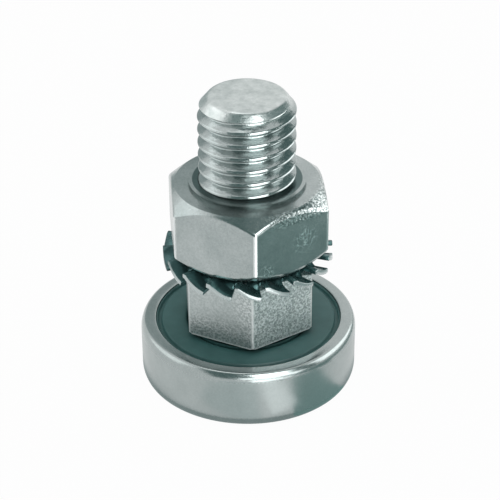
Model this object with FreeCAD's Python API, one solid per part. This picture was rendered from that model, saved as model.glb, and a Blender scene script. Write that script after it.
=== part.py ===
"""Guide roller for a sliding gate.

A sealed ball bearing runs on the journal of a threaded stud. Above the bearing the stud has a hexagon shoulder,
and its thread carries a fan lock washer and a hexagon nut. Millimetres, +Z along the stud, and the origin is on
the axis, in the plane on which the bearing stands.
"""

import math
import os

import FreeCAD
import Part

# Bearing
bearing_bore = 15.0
bearing_outer = 32.0
bearing_width = 9.0
tread_corner_radial = 0.85
tread_corner_axial = 1.6
ball_count = 9
ball_share = 0.56
ball_sides = 16
race_clearance = 0.06
shoulder_share = 0.65
seal_land_share = 0.18
lip_land_share = 0.55
bore_chamfer = 0.6

# Seals
seal_depth = 1.4
seal_inset = 0.2
seal_rim = 0.25
seal_groove_width = 0.7
seal_groove_depth = 0.35
lip_clearance = 0.1

# Cage
cage_sheet = 0.4
cage_width = 1.9
pocket_clearance = 0.1
crown_clearance = 0.2
rivet_diameter = 0.9
rivet_sides = 8

# Stud
thread_diameter = 14.0
thread_pitch = 2.0
thread_depth_share = 0.575
thread_crest_share = 0.17
thread_root_share = 0.166
thread_sides = 24
thread_start_turn = 0.217
stud_height = 45.4
tip_chamfer_radial = 1.48
tip_chamfer_axial = 1.8
collar_land = 1.2
collar_height = 0.4
hex_across_flats = 18.0
hex_height = 10.3
hex_chamfer_angle = 30.0
hex_corner_break = 0.3
undercut_below_thread = 0.1
undercut_width = 1.5
end_recess = 0.3

# Fan lock washer
washer_clearance = 0.5
washer_sheet = 0.8
washer_ring_width = 2.1
tooth_tip_inset = 0.3
tooth_rise_length = 0.6
tooth_root_overlap = 0.25
tooth_count = 18
tooth_gap_angle = 2.5
tooth_twist = 25.0
tooth_phase = -3.4

# Nut
nut_across_flats = 22.0
nut_height = 10.4
nut_face_share = 0.955
nut_chamfer_angle = 40.0
nut_thread_clearance = 0.05
nut_countersink_radial = 0.7
nut_phase = 1.5

# Gap left where one loose piece rests on another
seat_gap = 0.05

# Places worked out from the sizes above
Z_AXIS = FreeCAD.Vector(0, 0, 1)
ORIGIN = FreeCAD.Vector(0, 0, 0)
FRONT = -90.0

bore_radius = bearing_bore / 2
tread_radius = bearing_outer / 2
pitch_radius = (bore_radius + tread_radius) / 2
mid_height = bearing_width / 2
ring_section = tread_radius - bore_radius
room_over_ball = seal_depth + crown_clearance + cage_sheet + pocket_clearance
ball_radius = min(ball_share * ring_section / 2, mid_height - room_over_ball)
race_radius = ball_radius + race_clearance
shoulder_offset = shoulder_share * ball_radius
race_floor_half = race_radius * (math.sqrt(2) - 1)
race_half_width = race_radius * math.sqrt(2) - shoulder_offset
outer_shoulder = pitch_radius + shoulder_offset
inner_shoulder = pitch_radius - shoulder_offset
seal_radius = outer_shoulder + seal_land_share * (tread_radius - outer_shoulder)
lip_land_radius = bore_radius + lip_land_share * (inner_shoulder - bore_radius)

thread_radius = thread_diameter / 2
thread_depth = thread_depth_share * thread_pitch
thread_root_radius = thread_radius - thread_depth
hex_base = bearing_width + collar_height
hex_top = hex_base + hex_height

tooth_half_angle = math.radians(360 / tooth_count - tooth_gap_angle) / 2
washer_bore_radius = thread_radius + washer_clearance
washer_ring_radius = washer_bore_radius + washer_ring_width
washer_tip_radius = nut_across_flats / math.sqrt(3) - tooth_tip_inset
washer_level = hex_top + seat_gap + washer_sheet / 2
tooth_tip_half_width = washer_tip_radius * math.tan(tooth_half_angle)
tooth_reach = (
    tooth_tip_half_width * math.sin(math.radians(tooth_twist))
    + washer_sheet / 2 * math.cos(math.radians(tooth_twist))
)
nut_base = washer_level + tooth_reach + seat_gap
nut_top = nut_base + nut_height


def on_profile(radius, height):
    """A point of a half section, which lies in the XZ plane."""
    return FreeCAD.Vector(radius, 0, height)


def turned(*outline):
    """Turn a half section, a closed row of (radius, height) points, about the axis."""
    points = [on_profile(*place) for place in outline + outline[:1]]
    return Part.Face(Part.makePolygon(points)).revolve(ORIGIN, Z_AXIS, 360)


def solid_of(faces):
    """A solid from rows of corner points, one row for each flat face."""
    shell = Part.makeShell([Part.Face(Part.makePolygon(face + face[:1])) for face in faces])
    solid = Part.makeSolid(shell)
    if solid.Volume < 0:
        solid.reverse()
    return solid


def hexagon_bar(across_flats, base, height, phase):
    """A hexagonal prism with one corner at the front, turned by `phase` degrees."""
    corner_radius = across_flats / math.sqrt(3)
    corners = []
    for number in range(7):
        angle = math.radians(FRONT + phase + 60 * number)
        corners.append(
            FreeCAD.Vector(corner_radius * math.cos(angle), corner_radius * math.sin(angle), base)
        )
    return Part.Face(Part.makePolygon(corners)).extrude(FreeCAD.Vector(0, 0, height))


def hexagon_blank(across_flats, base, height, phase, low_chamfer, high_chamfer):
    """A hexagonal bar with turned ends. A chamfer is (radius on the end face, angle from that face)."""
    reach = across_flats
    low_radius, low_angle = low_chamfer
    high_radius, high_angle = high_chamfer
    low_rise = (reach - low_radius) * math.tan(math.radians(low_angle))
    high_drop = (reach - high_radius) * math.tan(math.radians(high_angle))
    low_cone = Part.makeCone(low_radius, reach, low_rise, FreeCAD.Vector(0, 0, base))
    high_cone = Part.makeCone(
        reach, high_radius, high_drop, FreeCAD.Vector(0, 0, base + height - high_drop)
    )
    over = Part.makeCylinder(reach, height, FreeCAD.Vector(0, 0, base + low_rise))
    under = Part.makeCylinder(reach, height, FreeCAD.Vector(0, 0, base - high_drop))
    bar = hexagon_bar(across_flats, base, height, phase)
    return bar.common(low_cone.fuse(over)).common(high_cone.fuse(under))


def ball_angles():
    """The ball places round the bearing, in degrees."""
    return [360 * number / ball_count for number in range(ball_count)]


def around(shape, angle):
    """A copy turned about the axis."""
    copy = shape.copy()
    copy.rotate(ORIGIN, Z_AXIS, angle)
    return copy


def make_outer_ring():
    """The outer ring: edges eased in two steps outside, ball race and two seal seats inside."""
    face_radius = tread_radius - tread_corner_radial
    ease_radius = face_radius + tread_corner_radial * math.sqrt(0.5)
    ease_height = tread_corner_axial * (1 - math.sqrt(0.5))
    seat_top = bearing_width - seal_depth
    race_floor = pitch_radius + race_radius
    return turned(
        (seal_radius, bearing_width),
        (face_radius, bearing_width),
        (ease_radius, bearing_width - ease_height),
        (tread_radius, bearing_width - tread_corner_axial),
        (tread_radius, tread_corner_axial),
        (ease_radius, ease_height),
        (face_radius, 0),
        (seal_radius, 0),
        (seal_radius, seal_depth),
        (outer_shoulder, seal_depth),
        (outer_shoulder, mid_height - race_half_width),
        (race_floor, mid_height - race_floor_half),
        (race_floor, mid_height + race_floor_half),
        (outer_shoulder, mid_height + race_half_width),
        (outer_shoulder, seat_top),
        (seal_radius, seat_top),
    )


def make_inner_ring():
    """The inner ring: ball race and stepped seal lands outside, chamfered bore inside."""
    land_depth = seal_depth + lip_clearance
    land_top = bearing_width - land_depth
    race_floor = pitch_radius - race_radius
    return turned(
        (bore_radius, bore_chamfer),
        (bore_radius, bearing_width - bore_chamfer),
        (bore_radius + bore_chamfer, bearing_width),
        (lip_land_radius, bearing_width),
        (lip_land_radius, land_top),
        (inner_shoulder, land_top),
        (inner_shoulder, mid_height + race_half_width),
        (race_floor, mid_height + race_floor_half),
        (race_floor, mid_height - race_floor_half),
        (inner_shoulder, mid_height - race_half_width),
        (inner_shoulder, land_depth),
        (lip_land_radius, land_depth),
        (lip_land_radius, 0),
        (bore_radius + bore_chamfer, 0),
    )


def make_upper_seal():
    """A rubber seal: rim seated in the outer ring, a shallow groove inside the rim, and a lip by the inner ring."""
    top = bearing_width - seal_inset
    seat = bearing_width - seal_depth
    groove_outer = seal_radius - seal_rim
    groove_inner = groove_outer - seal_groove_width
    groove_floor = top - seal_groove_depth
    lip_radius = lip_land_radius + lip_clearance
    return turned(
        (seal_radius, top),
        (seal_radius, seat),
        (lip_radius, seat),
        (lip_radius, top),
        (groove_inner, top),
        (groove_inner, groove_floor),
        (groove_outer, groove_floor),
        (groove_outer, top),
    )


def turned_over(shape):
    """A copy for the other side of the bearing."""
    copy = shape.copy()
    copy.rotate(FreeCAD.Vector(0, 0, mid_height), FreeCAD.Vector(1, 0, 0), 180)
    return copy


def on_ball(latitude, longitude):
    """A point on the first ball. Its angles are counted in sides, from the lower pole and from the front."""
    tilt = 2 * math.pi * latitude / ball_sides
    turn = 2 * math.pi * longitude / ball_sides
    ring = ball_radius * math.sin(tilt)
    return FreeCAD.Vector(
        pitch_radius + ring * math.cos(turn),
        ring * math.sin(turn),
        mid_height - ball_radius * math.cos(tilt),
    )


def make_ball(angle):
    """One bearing ball in its place, as flat facets between even rings of points."""
    bands = ball_sides // 2
    faces = []
    for side in range(ball_sides):
        faces.append([on_ball(0, 0), on_ball(1, side + 1), on_ball(1, side)])
        for band in range(1, bands - 1):
            faces.append(
                [
                    on_ball(band, side),
                    on_ball(band, side + 1),
                    on_ball(band + 1, side + 1),
                    on_ball(band + 1, side),
                ]
            )
        faces.append([on_ball(bands - 1, side), on_ball(bands - 1, side + 1), on_ball(bands, 0)])
    return around(solid_of(faces), angle)


def ball_pocket(radius):
    """A radial bar over the first ball's upper half: half of an octagon whose sides touch a circle."""
    start = pitch_radius - cage_width
    shoulder = radius * (math.sqrt(2) - 1)
    corners = []
    for sideways, height in (
        (-radius, 0),
        (radius, 0),
        (radius, shoulder),
        (shoulder, radius),
        (-shoulder, radius),
        (-radius, shoulder),
        (-radius, 0),
    ):
        corners.append(FreeCAD.Vector(start, sideways, mid_height + height))
    return Part.Face(Part.makePolygon(corners)).extrude(FreeCAD.Vector(2 * cage_width, 0, 0))


def rivet_angles():
    """Rivets stand halfway between the balls."""
    return [angle + 180 / ball_count for angle in ball_angles()]


def rivet_bar(base, height):
    """A rivet shank at the first ball's place, with flat sides."""
    corners = []
    for number in range(rivet_sides + 1):
        angle = 2 * math.pi * number / rivet_sides
        sideways = rivet_diameter / 2 * math.sin(angle)
        outwards = rivet_diameter / 2 * math.cos(angle)
        corners.append(FreeCAD.Vector(pitch_radius + outwards, sideways, base))
    return Part.Face(Part.makePolygon(corners)).extrude(FreeCAD.Vector(0, 0, height))


def make_upper_cage():
    """Half of the pressed cage: a ring of flat strips, folded up over each ball."""
    pocket_radius = ball_radius + pocket_clearance
    crown = pocket_radius + cage_sheet
    floor = FreeCAD.Vector(0, 0, mid_height)
    inside = pitch_radius - cage_width / 2
    outside = pitch_radius + cage_width / 2
    wide = Part.makeCylinder(outside + cage_width, cage_sheet, floor)
    pockets = [around(ball_pocket(pocket_radius), angle) for angle in ball_angles()]
    crowns = [around(ball_pocket(crown), angle) for angle in ball_angles()]
    band = Part.makeCylinder(outside, crown, floor).cut(Part.makeCylinder(inside, crown, floor))
    ribbon = wide.multiFuse(crowns).cut(pockets).common(band)
    hole = rivet_bar(mid_height, cage_sheet)
    return ribbon.cut([around(hole, angle) for angle in rivet_angles()]).removeSplitter()


def make_rivets():
    """The cage rivets, one between each two balls, peened flush on both sides."""
    rivet = rivet_bar(mid_height - cage_sheet, 2 * cage_sheet)
    return Part.makeCompound([around(rivet, angle) for angle in rivet_angles()])


def threaded_bar(base, top):
    """A right-hand thread past both heights: one pitch of its section carried round a helix, as flat facets."""
    flank = (1 - thread_crest_share - thread_root_share) / 2
    section = (
        (thread_root_radius, 0),
        (thread_root_radius, thread_root_share),
        (thread_radius, thread_root_share + flank),
        (thread_radius, 1 - flank),
        (thread_root_radius, 1),
    )
    turns = math.ceil((top - base) / thread_pitch) + 2
    start = base + (thread_start_turn - 2) * thread_pitch

    def on_thread(step, corner):
        angle = math.radians(FRONT) + 2 * math.pi * step / thread_sides
        radius, share = section[corner]
        height = start + thread_pitch * (step / thread_sides + share)
        return FreeCAD.Vector(radius * math.cos(angle), radius * math.sin(angle), height)

    last = turns * thread_sides
    strips = range(len(section) - 1)
    low_end = FreeCAD.Vector(0, 0, start)
    high_end = FreeCAD.Vector(0, 0, start + (turns + 1) * thread_pitch)
    faces = []
    for corner in strips:
        for step in range(last):
            here = on_thread(step, corner)
            opposite = on_thread(step + 1, corner + 1)
            faces.append([here, on_thread(step + 1, corner), opposite])
            faces.append([here, opposite, on_thread(step, corner + 1)])
        faces.append([low_end, on_thread(0, corner), on_thread(0, corner + 1)])
        faces.append([high_end, on_thread(last, corner + 1), on_thread(last, corner)])
    for step in range(thread_sides):
        upper = last - thread_sides + step
        faces.append([low_end, on_thread(step + 1, 0), on_thread(step, 0)])
        faces.append([high_end, on_thread(upper, len(strips)), on_thread(upper + 1, len(strips))])
    return solid_of(faces)


def make_stud():
    """The stud: journal staked into the bearing, collar, hexagon shoulder, relief groove and cut thread."""
    collar_radius = bore_radius + collar_land
    relief_radius = thread_root_radius - undercut_below_thread
    relief_top = hex_top + undercut_width
    tip_radius = thread_radius - tip_chamfer_radial
    flare_radius = bore_radius + bore_chamfer - end_recess
    neck_base = hex_base + hex_height / 2
    core = turned(
        (0, end_recess),
        (flare_radius, end_recess),
        (bore_radius, bore_chamfer),
        (bore_radius, bearing_width),
        (collar_radius, bearing_width),
        (collar_radius, neck_base),
        (relief_radius, neck_base),
        (relief_radius, relief_top),
        (0, relief_top),
    )
    outside = thread_radius + thread_depth
    tip_slope = tip_chamfer_axial / tip_chamfer_radial
    blank = turned(
        (0, relief_top),
        (relief_radius, relief_top),
        (outside, relief_top + outside - relief_radius),
        (outside, stud_height - tip_slope * (outside - tip_radius)),
        (tip_radius, stud_height),
        (0, stud_height),
    )
    thread = threaded_bar(relief_top, stud_height).common(blank)
    corner_radius = hex_across_flats / math.sqrt(3)
    shoulder = hexagon_blank(
        hex_across_flats,
        hex_base,
        hex_height,
        0,
        (corner_radius - hex_corner_break, 45),
        (hex_across_flats / 2 - hex_corner_break, hex_chamfer_angle),
    )
    return core.fuse(shoulder).fuse(thread).removeSplitter()


def tooth_section(radius, twist):
    """A tooth's four corners at a radius, twisted so that its end on the left, seen from outside, is raised."""
    half_width = radius * math.tan(tooth_half_angle)
    half_sheet = washer_sheet / 2
    lean = math.radians(twist)
    corners = []
    for across, up in ((-1, -1), (1, -1), (1, 1), (-1, 1)):
        along = across * half_width
        rise = up * half_sheet
        sideways = along * math.cos(lean) + rise * math.sin(lean)
        height = rise * math.cos(lean) - along * math.sin(lean)
        corners.append(FreeCAD.Vector(radius, sideways, washer_level + height))
    return corners


def make_tooth():
    """One tooth: it leaves the ring flat, twists over a short rise, and runs on to its tip."""
    root = tooth_section(washer_ring_radius - tooth_root_overlap, 0)
    bend = tooth_section(washer_ring_radius + tooth_rise_length, tooth_twist)
    tip = tooth_section(washer_tip_radius, tooth_twist)
    faces = [root[::-1], tip]
    for this in range(4):
        following = (this + 1) % 4
        faces.append([root[this], root[following], bend[following]])
        faces.append([root[this], bend[following], bend[this]])
        faces.append([bend[this], bend[following], tip[following], tip[this]])
    return solid_of(faces)


def make_lock_washer():
    """The fan washer: a flat ring with teeth that are each twisted about their own radial line."""
    tooth = make_tooth()
    low = FreeCAD.Vector(0, 0, washer_level - washer_sheet / 2)
    washer = Part.makeCylinder(washer_ring_radius, washer_sheet, low)
    for number in range(tooth_count):
        washer = washer.fuse(around(tooth, FRONT + tooth_phase + 360 * number / tooth_count))
    return washer.cut(Part.makeCylinder(washer_bore_radius, washer_sheet, low)).removeSplitter()


def make_nut():
    """The hexagon nut: both ends chamfered, and the thread hole countersunk at both ends."""
    face_radius = nut_face_share * nut_across_flats / 2
    chamfer = (face_radius, nut_chamfer_angle)
    blank = hexagon_blank(
        nut_across_flats, nut_base, nut_height, nut_phase, chamfer, chamfer
    )
    hole_radius = thread_radius + nut_thread_clearance
    mouth_radius = hole_radius + nut_countersink_radial
    hole = turned(
        (0, nut_base),
        (mouth_radius, nut_base),
        (hole_radius, nut_base + nut_countersink_radial),
        (hole_radius, nut_top - nut_countersink_radial),
        (mouth_radius, nut_top),
        (0, nut_top),
    )
    return blank.cut(hole)


def save(node, shape):
    """Write one piece."""
    shape.exportStep(f"parts/{node}.step")


os.makedirs("parts", exist_ok=True)
upper_seal = make_upper_seal()
upper_cage = make_upper_cage()
save("stud", make_stud())
save("inner_ring", make_inner_ring())
save("outer_ring", make_outer_ring())
save("seal_upper", upper_seal)
save("seal_lower", turned_over(upper_seal))
save("cage_upper", upper_cage)
save("cage_lower", turned_over(upper_cage))
save("cage_rivets", make_rivets())
for number, place in enumerate(ball_angles(), start=1):
    save(f"ball_{number}", make_ball(place))
save("lock_washer", make_lock_washer())
save("nut", make_nut())
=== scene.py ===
# %% [markdown]
# # Guide roller of a sliding gate
#
# The object is a small ball bearing on a threaded stud, with a hexagon shoulder, a fan lock washer and a
# nut. Its solids come packed from CAD as a fixed frame, in metres, standing on the floor with +Z along
# the stud. This lesson dresses that frame: each visible piece is modelled again with the detail that a
# solid leaves out, and it rides on the same body as the solid that it stands for.

# %% Load the frame
import math
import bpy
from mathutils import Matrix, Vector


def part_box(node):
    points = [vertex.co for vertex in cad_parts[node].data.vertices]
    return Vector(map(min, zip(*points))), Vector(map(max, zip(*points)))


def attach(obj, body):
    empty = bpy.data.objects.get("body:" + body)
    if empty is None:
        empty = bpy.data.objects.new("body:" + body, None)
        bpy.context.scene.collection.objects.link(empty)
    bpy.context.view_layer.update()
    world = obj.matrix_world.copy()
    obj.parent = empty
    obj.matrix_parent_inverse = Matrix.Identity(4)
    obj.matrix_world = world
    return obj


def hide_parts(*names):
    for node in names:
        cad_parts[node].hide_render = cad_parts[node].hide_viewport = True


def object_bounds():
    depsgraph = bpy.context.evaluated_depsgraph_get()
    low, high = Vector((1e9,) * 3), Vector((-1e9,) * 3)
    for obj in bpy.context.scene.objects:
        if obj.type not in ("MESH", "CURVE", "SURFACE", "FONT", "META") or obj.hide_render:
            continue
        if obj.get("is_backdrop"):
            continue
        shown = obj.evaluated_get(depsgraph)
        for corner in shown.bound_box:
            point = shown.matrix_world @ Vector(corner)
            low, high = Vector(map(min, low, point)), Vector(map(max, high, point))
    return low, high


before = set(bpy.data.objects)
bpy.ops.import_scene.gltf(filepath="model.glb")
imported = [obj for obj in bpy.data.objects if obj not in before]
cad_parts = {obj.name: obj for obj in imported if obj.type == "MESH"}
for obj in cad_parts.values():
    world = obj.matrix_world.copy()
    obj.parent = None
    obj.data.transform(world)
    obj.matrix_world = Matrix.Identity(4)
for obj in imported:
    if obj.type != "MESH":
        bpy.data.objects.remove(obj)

from types import SimpleNamespace

import bmesh
import bpy
from mathutils import Quaternion, Vector

cad_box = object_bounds()
mm = 0.001
print("nodes:", len(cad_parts), "top of the stud, mm:", round(cad_box[1].z / mm, 2))

# %% [markdown]
# ## Camera
#
# The photograph looks down on the roller from about thirty degrees, with a long lens. A camera could be
# moved by eye until the picture fits, but circles tell more: their ellipses gave the angle, the distance
# and the focal length. The object sits a little above the middle of the picture, so the camera is shifted
# instead of tilted, which keeps the ellipses as they are. A very small roll leans the stud to the left.

# %% Camera
sight_height = 23 * mm
sight_distance = 259.5 * mm
sight_elevation = math.radians(30.78)
sight_turn = math.radians(-3.5)
sight_roll = math.radians(-0.42)
lens_length = 128.4
sensor_width = 36
picture_width = 500

camera_data = bpy.data.cameras.new("camera")
camera_data.sensor_width = sensor_width
camera_data.lens = lens_length
camera_data.shift_x = 0.0047
camera_data.shift_y = -0.0334
camera = bpy.data.objects.new("camera", camera_data)
bpy.context.scene.collection.objects.link(camera)
back = Vector((
    math.sin(sight_turn) * math.cos(sight_elevation),
    -math.cos(sight_turn) * math.cos(sight_elevation),
    math.sin(sight_elevation),
))
camera.location = Vector((0, 0, sight_height)) + back * sight_distance
facing = (-back).to_track_quat("-Z", "Y")
camera.rotation_mode = "QUATERNION"
camera.rotation_quaternion = facing @ Quaternion((0, 0, 1), sight_roll)
bpy.context.scene.camera = camera
bpy.context.scene.view_settings.view_transform = "Standard"
pixels_per_mm = picture_width * lens_length / sensor_width * mm / sight_distance
print("camera at", [round(x, 4) for x in camera.location], "pixels per mm:", round(pixels_per_mm, 2))

# %% [markdown]
# ## Tools for modelling by hand
#
# Blender's operators act on whatever is selected, so every step starts from an empty selection and then
# picks vertices or edges by their place. Three habits cover most of this object: a circle that is
# extruded from point to point makes a turned piece, a six-sided cylinder makes a hexagon, and a boolean
# joins or cuts finished forms.

# %% Selecting
def clear_selection():
    """Back to object mode, with nothing selected."""
    if bpy.context.mode != "OBJECT":
        bpy.ops.object.mode_set(mode="OBJECT")
    bpy.ops.object.select_all(action="DESELECT")


def make_active(piece):
    """Only this piece is selected."""
    clear_selection()
    piece.select_set(True)
    bpy.context.view_layer.objects.active = piece


def open_up(piece, kind="VERT"):
    """Edit mode on this piece, with nothing selected in it."""
    make_active(piece)
    bpy.ops.object.mode_set(mode="EDIT")
    bpy.ops.mesh.select_mode(type=kind)
    bpy.ops.mesh.select_all(action="DESELECT")


def pick_points(piece, test):
    """In edit mode, select the vertices that pass a test on their place."""
    bpy.ops.mesh.select_all(action="DESELECT")
    mesh = bmesh.from_edit_mesh(piece.data)
    for point in mesh.verts:
        point.select = test(point.co)
    mesh.select_flush_mode()
    bmesh.update_edit_mesh(piece.data)


def pick_edges(piece, test):
    """In edit mode, select the edges whose two ends pass a test together."""
    bpy.ops.mesh.select_all(action="DESELECT")
    mesh = bmesh.from_edit_mesh(piece.data)
    for edge in mesh.edges:
        edge.select = test(edge.verts[0].co, edge.verts[1].co)
    bmesh.update_edit_mesh(piece.data)


clear_selection()
print("selected to begin with:", len(bpy.context.selected_objects))

# %% [markdown]
# ### Closing a piece
#
# Outlines leave doubled points where they meet their start, and booleans leave faces that point either
# way. One function ends every piece: it merges the doubles, turns the faces outwards, puts the object's
# place into its mesh and shades it smooth up to an angle, so that real corners stay sharp.

# %% Closing a piece
double_distance = 1e-7


def close_up(piece, smooth_angle=30):
    """Merge doubles, turn the faces outwards, put the object's place into its mesh and shade it."""
    make_active(piece)
    bpy.ops.object.mode_set(mode="EDIT")
    bpy.ops.mesh.select_all(action="SELECT")
    bpy.ops.mesh.remove_doubles(threshold=double_distance)
    bpy.ops.mesh.normals_make_consistent(inside=False)
    bpy.ops.object.mode_set(mode="OBJECT")
    bpy.ops.object.transform_apply(location=True, rotation=True, scale=True)
    bpy.ops.object.shade_smooth_by_angle(angle=math.radians(smooth_angle))
    return piece


print("doubles are merged within, mm:", double_distance / mm)

# %% [markdown]
# ### Turning
#
# A lathe part is drawn as half of its outline. The Spin operator could sweep it round, but a circle that
# grows from point to point is easier to follow. A ring starts as an open circle, and each extrusion
# carries it to the next point of the outline until it meets its start. A bar starts as a filled circle,
# so its ends stay closed.

# %% Turning
bar_sides = 144
ring_sides = 192


def extrude_along(outline):
    """Carry the selected circle from point to point of (radius, height)."""
    for (radius, height), (next_radius, next_height) in zip(outline, outline[1:]):
        bpy.ops.mesh.extrude_region_move(TRANSFORM_OT_translate={"value": (0, 0, next_height - height)})
        share = next_radius / radius
        bpy.ops.transform.resize(value=(share, share, 1), center_override=(0, 0, next_height))


def turned(name, outline, closed, sides=bar_sides):
    """A turned piece: a ring if its outline is closed, else a bar with flat ends."""
    clear_selection()
    radius, height = outline[0]
    fill = "NOTHING" if closed else "NGON"
    bpy.ops.mesh.primitive_circle_add(vertices=sides, radius=radius, fill_type=fill, location=(0, 0, height))
    piece = bpy.context.object
    piece.name = name
    bpy.ops.object.mode_set(mode="EDIT")
    bpy.ops.mesh.select_all(action="SELECT")
    extrude_along(outline + outline[:1] if closed else outline)
    return close_up(piece)


print("a side of a ring spans, degrees:", 360 / ring_sides)

# %% [markdown]
# ### Rounded outlines
#
# Two kinds of rounding are drawn into an outline before it is turned. A quarter round leads from a flat
# face to an upright wall, and may be longer one way than the other. An eased corner cuts across any
# corner in a small curve. A Bevel modifier could do both later, but in the outline their size is exact.

# %% Rounded outlines
def quarter_round(face_radius, face_height, wide, deep, steps=8):
    """Outline points of a rounded corner, from a flat face outwards and down."""
    points = []
    for step in range(steps + 1):
        angle = math.pi / 2 * step / steps
        points.append((face_radius + wide * math.sin(angle), face_height - deep * (1 - math.cos(angle))))
    return points


def eased_corner(before, corner, after, reach, steps=5):
    """Outline points that round off a corner, from `reach` before it to `reach` after it."""
    start = Vector(corner) + (Vector(before) - Vector(corner)).normalized() * reach
    stop = Vector(corner) + (Vector(after) - Vector(corner)).normalized() * reach
    points = []
    for step in range(steps + 1):
        share = step / steps
        way_in = start.lerp(Vector(corner), share)
        way_out = Vector(corner).lerp(stop, share)
        points.append(tuple(way_in.lerp(way_out, share)))
    return points


print("a quarter round has", len(quarter_round(1, 1, 0.1, 0.1)), "points")

# %% [markdown]
# ### Booleans
#
# A boolean modifier joins two closed forms, keeps what they share, or takes one from the other. Every
# modifier here is applied at once and a boolean's tool is deleted, so that the finished piece holds
# nothing but its own mesh.

# %% Booleans
def change(piece, kind, **settings):
    """Add a modifier of this kind with these settings, and apply it."""
    make_active(piece)
    step = piece.modifiers.new("change", kind)
    for key, value in settings.items():
        setattr(step, key, value)
    bpy.ops.object.modifier_apply(modifier=step.name)
    return piece


def combine(piece, tool, operation):
    """Apply a boolean of the piece with a tool, and delete the tool."""
    change(piece, "BOOLEAN", operation=operation, solver="EXACT", object=tool)
    bpy.data.objects.remove(tool, do_unlink=True)
    return piece


# %% [markdown]
# ### Hexagons
#
# A hexagon shoulder or nut is cut from a hexagonal bar, and its ends are then turned, which leaves arcs
# where cone and flats meet. The arcs could be drawn point by point, but they come out true when the work
# goes the same way: a six-sided cylinder is trimmed by a turned form that has both chamfers.

# %% Hexagons
def hexagon_bar(name, flats, low, high, turn, edge_round):
    """A hexagonal bar with one corner at the front, and its long edges rounded if a size is given."""
    clear_selection()
    bpy.ops.mesh.primitive_cylinder_add(
        vertices=6,
        radius=flats / math.sqrt(3),
        depth=high - low,
        location=(0, 0, (low + high) / 2),
        rotation=(0, 0, math.radians(turn)),
    )
    piece = bpy.context.object
    piece.name = name
    bpy.ops.object.transform_apply(location=True, rotation=True, scale=True)
    if edge_round:
        open_up(piece, "EDGE")
        pick_edges(piece, lambda one, other: abs(one.z - other.z) > (high - low) / 2)
        bpy.ops.mesh.bevel(offset=edge_round, segments=3, affect="EDGES")
    return close_up(piece)


def trimmed_hexagon(name, flats, low, high, turn, edge_round, low_end, high_end):
    """A hexagon whose ends are turned. An end is (radius of its flat face, chamfer angle from that face)."""
    past_corner = 0.3 * mm
    spare = 1 * mm
    reach = flats / math.sqrt(3) + past_corner
    low_rise = (reach - low_end[0]) * math.tan(math.radians(low_end[1]))
    high_drop = (reach - high_end[0]) * math.tan(math.radians(high_end[1]))
    trim = turned(
        "trim",
        [(low_end[0], low), (reach, low + low_rise), (reach, high - high_drop), (high_end[0], high)],
        closed=False,
        sides=ring_sides,
    )
    piece = hexagon_bar(name, flats, low - spare, high + spare, turn, edge_round)
    return close_up(combine(piece, trim, "INTERSECT"))


print("across corners is, shares of across flats:", round(2 / math.sqrt(3), 4))

# %% [markdown]
# ### Soft edges
#
# No edge of a real part is quite sharp, and the thin round along it is what catches the light. A Bevel
# modifier eases every edge that turns by more than an angle. A Weighted Normal modifier then lets the
# large faces keep their own direction, so that flat faces shade flat and only the narrow round between
# them turns.

# %% Soft edges
def ease_edges(piece, width, least_angle, segments=2):
    """Round every edge that turns by more than an angle, in degrees."""
    return change(
        piece,
        "BEVEL",
        width=width,
        segments=segments,
        limit_method="ANGLE",
        angle_limit=math.radians(least_angle),
        use_clamp_overlap=False,
    )


def hold_flats(piece):
    """Let large faces keep their own direction in the shading."""
    return change(piece, "WEIGHTED_NORMAL", keep_sharp=True)


print("smallest round that fills a pixel, mm:", round(1 / pixels_per_mm, 2))

# %% [markdown]
# ### Thread profile
#
# A screw thread is one tooth of its profile, carried round the axis along a helix. The profile is one
# pitch high, from the middle of a groove to the middle of the next. This thread was rolled, not cut, so
# root and crest are rounded, and a shallow seam runs along the crest. The row of points starts as a plane
# that is merged to one vertex and is then extruded from place to place.

# %% Thread profile
thread_pitch = 2 * mm
thread_crest = 7 * mm
thread_root = 5.85 * mm
flank_angle = math.radians(60)
crest_flat = 0.34 * mm
seam_depth = 0.04 * mm


def draw_row(name, points):
    """A row of edges through these points."""
    clear_selection()
    bpy.ops.mesh.primitive_plane_add(size=mm, location=(0, 0, 0))
    piece = bpy.context.object
    piece.name = name
    bpy.ops.object.mode_set(mode="EDIT")
    bpy.ops.mesh.select_mode(type="VERT")
    bpy.ops.mesh.select_all(action="SELECT")
    bpy.ops.mesh.merge(type="CENTER")
    bpy.ops.mesh.select_all(action="SELECT")
    bpy.ops.transform.translate(value=points[0])
    for point, following in zip(points, points[1:]):
        bpy.ops.mesh.extrude_region_move(TRANSFORM_OT_translate={"value": following - point})
    bpy.ops.object.mode_set(mode="OBJECT")
    return piece


def thread_profile(grow, start):
    """One pitch of the thread from a starting height, with all radii grown by a clearance."""
    crest = thread_crest + grow
    root = thread_root + grow
    flank = (crest - root) / math.tan(flank_angle)
    root_half = (thread_pitch - crest_flat) / 2 - flank
    crest_start = root_half + flank
    half = [
        (root, 0),
        (root + 0.02 * mm, root_half * 0.6),
        (root + 0.1 * mm, root_half + 0.03 * mm),
        (crest - 0.20 * mm, crest_start - 0.11 * mm),
        (crest - 0.08 * mm, crest_start - 0.02 * mm),
        (crest - 0.02 * mm, crest_start + 0.05 * mm),
        (crest, crest_start + 0.11 * mm),
    ]
    seam = [(crest - seam_depth, thread_pitch / 2)]
    row = half + seam + [(radius, thread_pitch - height) for radius, height in reversed(half)]
    return [Vector((radius, 0, start + height)) for radius, height in row]


print("thread depth, mm:", round((thread_crest - thread_root) / mm, 3))

# %% [markdown]
# ### Threaded rod
#
# A Screw modifier repeats the profile turn after turn. Both open ends are then drawn together into a
# point, which makes a closed rod that booleans accept. It is longer than needed, and a boolean cuts it to
# length later. The photograph shows at which height a groove faces the camera, and that fixes where the
# helix starts.

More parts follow.
